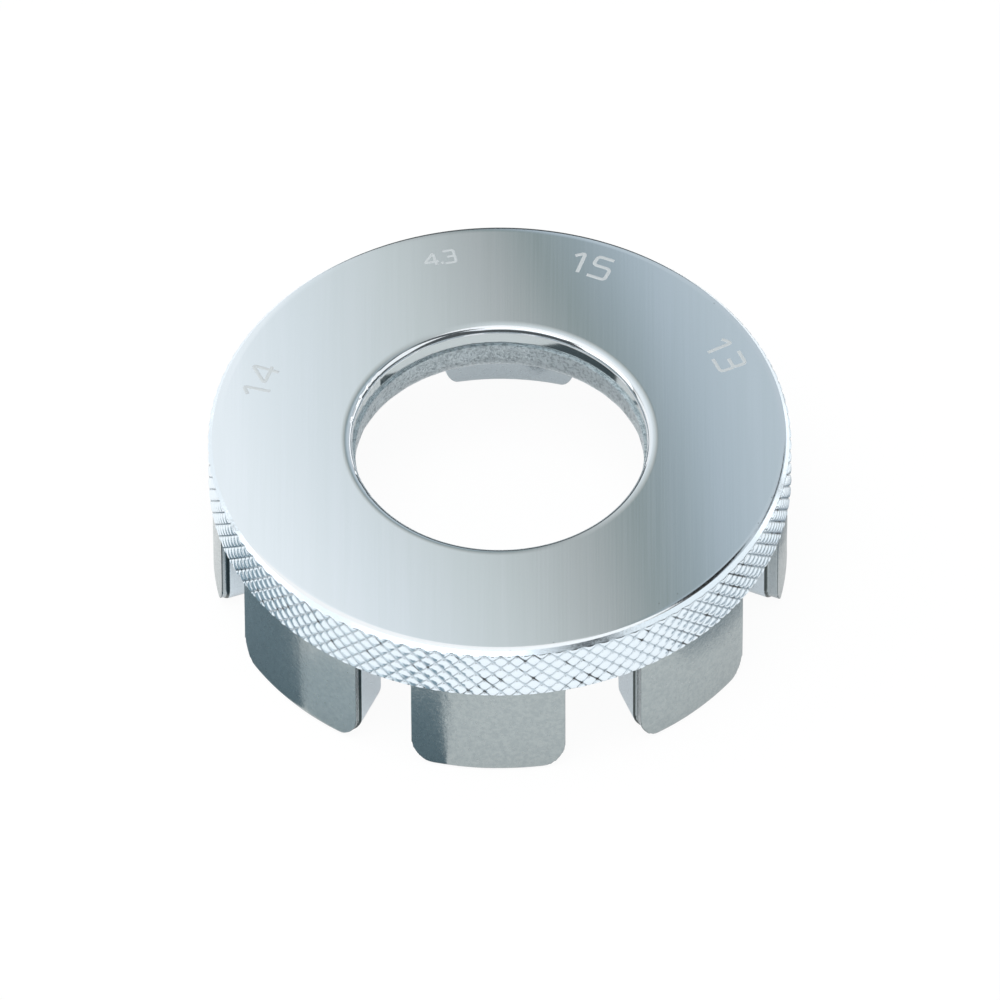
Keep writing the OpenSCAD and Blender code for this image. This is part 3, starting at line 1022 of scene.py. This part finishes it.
def relief_end(slot):
    """Radius at which the reliefs of a slot end. Two of the slots have shorter ones."""
    short = slot % SLOT_COUNT in SHORT_RELIEF_SLOTS
    return jaw_outer_radius - (SHORT_RELIEF_LENGTH if short else RELIEF_LENGTH)


short_end = relief_end(SHORT_RELIEF_SLOTS[0])
print(f"reliefs end at {relief_end(0) / MM:.2f} mm, short ones at {short_end / MM:.2f} mm")

# %% Bright metal, painted light and painted shade on the jaws
RELIEF_LINE = 0.07 * MM
RELIEF_SHADE = 0.1
RELIEF_SHINE = 0.35
# Painted light: the share of the bright colour that the jaws' inner faces get
INNER_SHARE = 0.62
# The least that a normal leans into the slot or outwards, on the relief's end and on its floor
END_LEAN, END_OUTWARDS = -0.2, -0.5
FLOOR_LEAN = 0.35
# The lean from which milled metal shows, and how much more lean makes it whole
MILLED_LEAN, MILLED_RANGE = 0.6, 0.3
INNER_LEAN, INNER_RANGE = 0.6, 0.2


def slot_finish(place, normal):
    """Two shares at a point of a jaw: painted shade where a slot's relief ends, bright milled metal and
    painted light.
    """
    slot = round(math.atan2(place.y, place.x) / SLOT_STEP)
    to_slot = Quaternion((0, 0, 1), -slot * SLOT_STEP)
    turned, facing = place.copy(), normal.copy()
    turned.rotate(to_slot)
    facing.rotate(to_slot)
    into_slot = -math.copysign(1, turned.y) * facing.y
    past_step = turned.x - relief_end(slot)
    if abs(past_step) < RELIEF_LINE and into_slot > END_LEAN and facing.x > END_OUTWARDS:
        return 1.0, 0.0
    if past_step > 0 and into_slot > FLOOR_LEAN:
        at_edge = jaw_outer_radius - place.xy.length < RELIEF_LINE
        return (1.0 if at_edge else RELIEF_SHADE), RELIEF_SHINE
    if past_step > 0:
        return 0.0, 0.0
    inwards = -normal.xy.dot(place.xy.normalized())
    inner = INNER_SHARE * clamped((inwards - INNER_LEAN) / INNER_RANGE)
    return 0.0, max(clamped((into_slot - MILLED_LEAN) / MILLED_RANGE), inner)


# %% [markdown]
# ## The jaws
#
# The jaws keep the softness of the casting under their plating: every edge is a little round and
# the faces wave slightly. Each starts as a copy of its CAD solid. Its root is run up into the
# plate, then a voxel remesh and a few rounds of smoothing melt the edges as a casting's are. A
# bevel would round only the edges, and all of them alike.

# %% Root of a jaw
ROOT_RISE = 0.4 * MM
ROOT_INSET = 0.45 * MM


def deep_rooted_jaw(name):
    """A copy of a CAD jaw whose root reaches up into the plate, out of sight."""
    shape = bmesh.new()
    shape.from_mesh(frame["nodes"][name].data)
    bmesh.ops.remove_doubles(shape, verts=shape.verts, dist=TOUCH)
    root = [face for face in shape.faces if min(v.co.z for v in face.verts) > underside_z - TOUCH]
    made = bmesh.ops.extrude_face_region(shape, geom=root)["geom"]
    bmesh.ops.delete(shape, geom=root, context="FACES_ONLY")
    for corner in (item for item in made if isinstance(item, bmesh.types.BMVert)):
        flat = Vector((corner.co.x, corner.co.y))
        flat = flat.normalized() * min(flat.length, jaw_outer_radius - ROOT_INSET)
        corner.co = (flat.x, flat.y, corner.co.z + ROOT_RISE)
    bmesh.ops.recalc_face_normals(shape, faces=shape.faces)
    return shape


# %% Melted edges
VOXEL = 0.09 * MM
SMOOTH_ROUNDS = 3
SMOOTH_FACTOR = 0.5


def melted(name, shape):
    """The same solid after a voxel remesh and smoothing, as a new bmesh."""
    mesh = finished_mesh(name + "_rough", shape)
    rough = new_object(name + "_rough", mesh)
    remesh = rough.modifiers.new("voxels", "REMESH")
    remesh.mode = "VOXEL"
    remesh.voxel_size = VOXEL
    smooth = rough.modifiers.new("melt", "SMOOTH")
    smooth.iterations = SMOOTH_ROUNDS
    smooth.factor = SMOOTH_FACTOR
    shown = rough.evaluated_get(bpy.context.evaluated_depsgraph_get())
    soft = bmesh.new()
    soft.from_mesh(shown.to_mesh())
    bpy.data.objects.remove(rough)
    bpy.data.meshes.remove(mesh)
    soft.normal_update()
    return soft


# %% Jaw pieces
JAW_WAVE = 0.02 * MM
JAW_WAVE_SCALE = 260


def softened_jaw(name):
    """A jaw with melted edges and gently waving faces that carries its painted shade and bright metal."""
    shape = melted(name, deep_rooted_jaw(name))
    relief = shape.verts.layers.float.new("relief")
    milled_and_lit = shape.verts.layers.float.new("milled_and_lit")
    for corner in shape.verts:
        corner[relief], corner[milled_and_lit] = slot_finish(corner.co, corner.normal)
        wave = noise.noise(corner.co * JAW_WAVE_SCALE)
        corner.co += corner.normal * (JAW_WAVE * wave - JAW_WAVE)
    return shape


for jaw in [name for name in frame["nodes"] if name.endswith("_jaw")]:
    finish_piece("soft_" + jaw, softened_jaw(jaw), jaw_finish, [jaw], sharp_degrees=180)

# %% [markdown]
# ## The size marks
#
# Each gripping slot has its nipple size engraved over it, as plain numbers that read with their
# tops to the rim. A ball-nosed cutter leaves a track of even width with rounded corners, so each
# stroke is a curve with a round bevel, flattened into a matt ribbon that ends level with the face.

# %% Mark finish
MARK_COLOUR = (0.59, 0.62, 0.63)
MARK_METALLIC = 0.4
MARK_ROUGHNESS = 0.5
MARK_SMOOTHEST, MARK_ROUGHEST = 0.42, 0.55
MARK_GRAIN_SCALE = 9000.0
MARK_GRAIN_STRENGTH = 0.3
MARK_GRAIN_DEPTH = 0.01 * MM


def engraved_finish():
    """Matt metal, as a small cutter leaves it."""
    material, tree, shader, place = new_metal("engraved_marks", MARK_COLOUR, MARK_ROUGHNESS)
    shader.inputs["Metallic"].default_value = MARK_METALLIC
    grain = noise_pattern(tree, place, MARK_GRAIN_SCALE, detail=3.0)
    tree.links.new(spread(tree, grain, MARK_SMOOTHEST, MARK_ROUGHEST), shader.inputs["Roughness"])
    relief = relief_normal(tree, grain, MARK_GRAIN_STRENGTH, MARK_GRAIN_DEPTH)
    tree.links.new(relief, shader.inputs["Normal"])
    return material


mark_finish = engraved_finish()
print(f"{mark_finish.name}: {len(mark_finish.node_tree.nodes)} nodes")

# %% Mark strokes
CORNER_ROUNDING = 0.3
CORNER_STEPS = 5
# The strokes of each digit, with corners in millimetres from its middle
STROKES = {
    "1": [[(-0.65, 0.5), (0, 0.97), (0, -1)]],
    "3": [
        [(-0.65, 1), (0.65, 1), (0.65, 0.03), (-0.25, 0.03)],
        [(0.2, 0.03), (0.68, 0.03), (0.68, -1), (-0.68, -1)],
    ],
    "4": [[(0.55, -1), (0.55, 1), (-0.8, -0.38), (0.9, -0.38)]],
    "5": [[(0.62, 1), (-0.6, 1), (-0.66, 0.12), (0.68, 0.12), (0.68, -1), (-0.68, -1)]],
    ".": [[(0, -0.7), (0, -1)]],
}


def rounded_path(points):
    """The path of a stroke in millimetres, with each inner corner turned into a small curve."""
    path = [Vector(points[0])]
    for before, corner, after in zip(points, points[1:], points[2:]):
        before, corner, after = Vector(before), Vector(corner), Vector(after)
        reach = min(CORNER_ROUNDING, (before - corner).length / 2, (after - corner).length / 2)
        start = corner + (before - corner).normalized() * reach
        end = corner + (after - corner).normalized() * reach
        for step in range(CORNER_STEPS + 1):
            share = step / CORNER_STEPS
            path.append(start.lerp(corner, share).lerp(corner.lerp(end, share), share))
    return path + [Vector(points[-1])]


# %% Digits
CUTTER_RADIUS = 0.135 * MM
LEAST_CUT = 0.4
STROKE_DROP = 0.01 * MM


def digit_mesh(digit, scale):
    """One digit as a round-bevelled stroke, centred on the origin with its top towards +Y."""
    curve = bpy.data.curves.new("stroke", "CURVE")
    curve.dimensions = "3D"
    curve.bevel_depth = CUTTER_RADIUS * (LEAST_CUT + (1 - LEAST_CUT) * scale)
    curve.bevel_resolution = 2
    curve.use_fill_caps = True
    for order, points in enumerate(STROKES[digit]):
        path = rounded_path(points)
        spline = curve.splines.new("POLY")
        spline.points.add(len(path) - 1)
        for point, place in zip(spline.points, path):
            point.co = (place.x * scale * MM, place.y * scale * MM, -order * STROKE_DROP, 1)
    drawn = new_object("stroke", curve)
    mesh = bpy.data.meshes.new_from_object(drawn.evaluated_get(bpy.context.evaluated_depsgraph_get()))
    bpy.data.objects.remove(drawn)
    bpy.data.curves.remove(curve)
    return mesh


# %% Number pieces
MARK_RADIUS = 18.15 * MM
# Millimetres from the middle of a digit to that of the next one, at full scale
DIGIT_STEP = {"1": 1.5, "4": 1.35, ".": 1.0}
# Each number, the azimuth of its last digit in degrees, and its scale
MARKS = (("13", 3.0, 1.0), ("15", 45.1, 1.0), ("4.3", 80.5, 0.6), ("14", 138.8, 1.0))


def number_piece(number, last_azimuth, scale):
    """A number whose digits stand along the rim, flattened to end level with the face."""
    shape = bmesh.new()
    azimuth = math.radians(last_azimuth)
    for place in reversed(range(len(number))):
        digit = digit_mesh(number[place], scale)
        if place < len(number) - 1:
            azimuth += DIGIT_STEP[number[place]] * scale * MM / MARK_RADIUS
        first = len(shape.verts)
        shape.from_mesh(digit)
        bpy.data.meshes.remove(digit)
        shape.verts.ensure_lookup_table()
        highest = max(corner.co.z for corner in shape.verts[first:])
        flatten = Matrix.Diagonal((1, 1, FACE_SINK / highest, 1))
        turn = Matrix.Rotation(azimuth - quarter, 4, "Z")
        stand = Matrix.Translation((0, MARK_RADIUS, face_z))
        bmesh.ops.transform(shape, matrix=turn @ stand @ flatten, verts=shape.verts[first:])
    bmesh.ops.recalc_face_normals(shape, faces=shape.faces)
    return shape


for number, last_azimuth, scale in MARKS:
    name = "mark_" + number.replace(".", "_")
    digits = number_piece(number, last_azimuth, scale)
    finish_piece(name, digits, mark_finish, [], sharp_degrees=60)
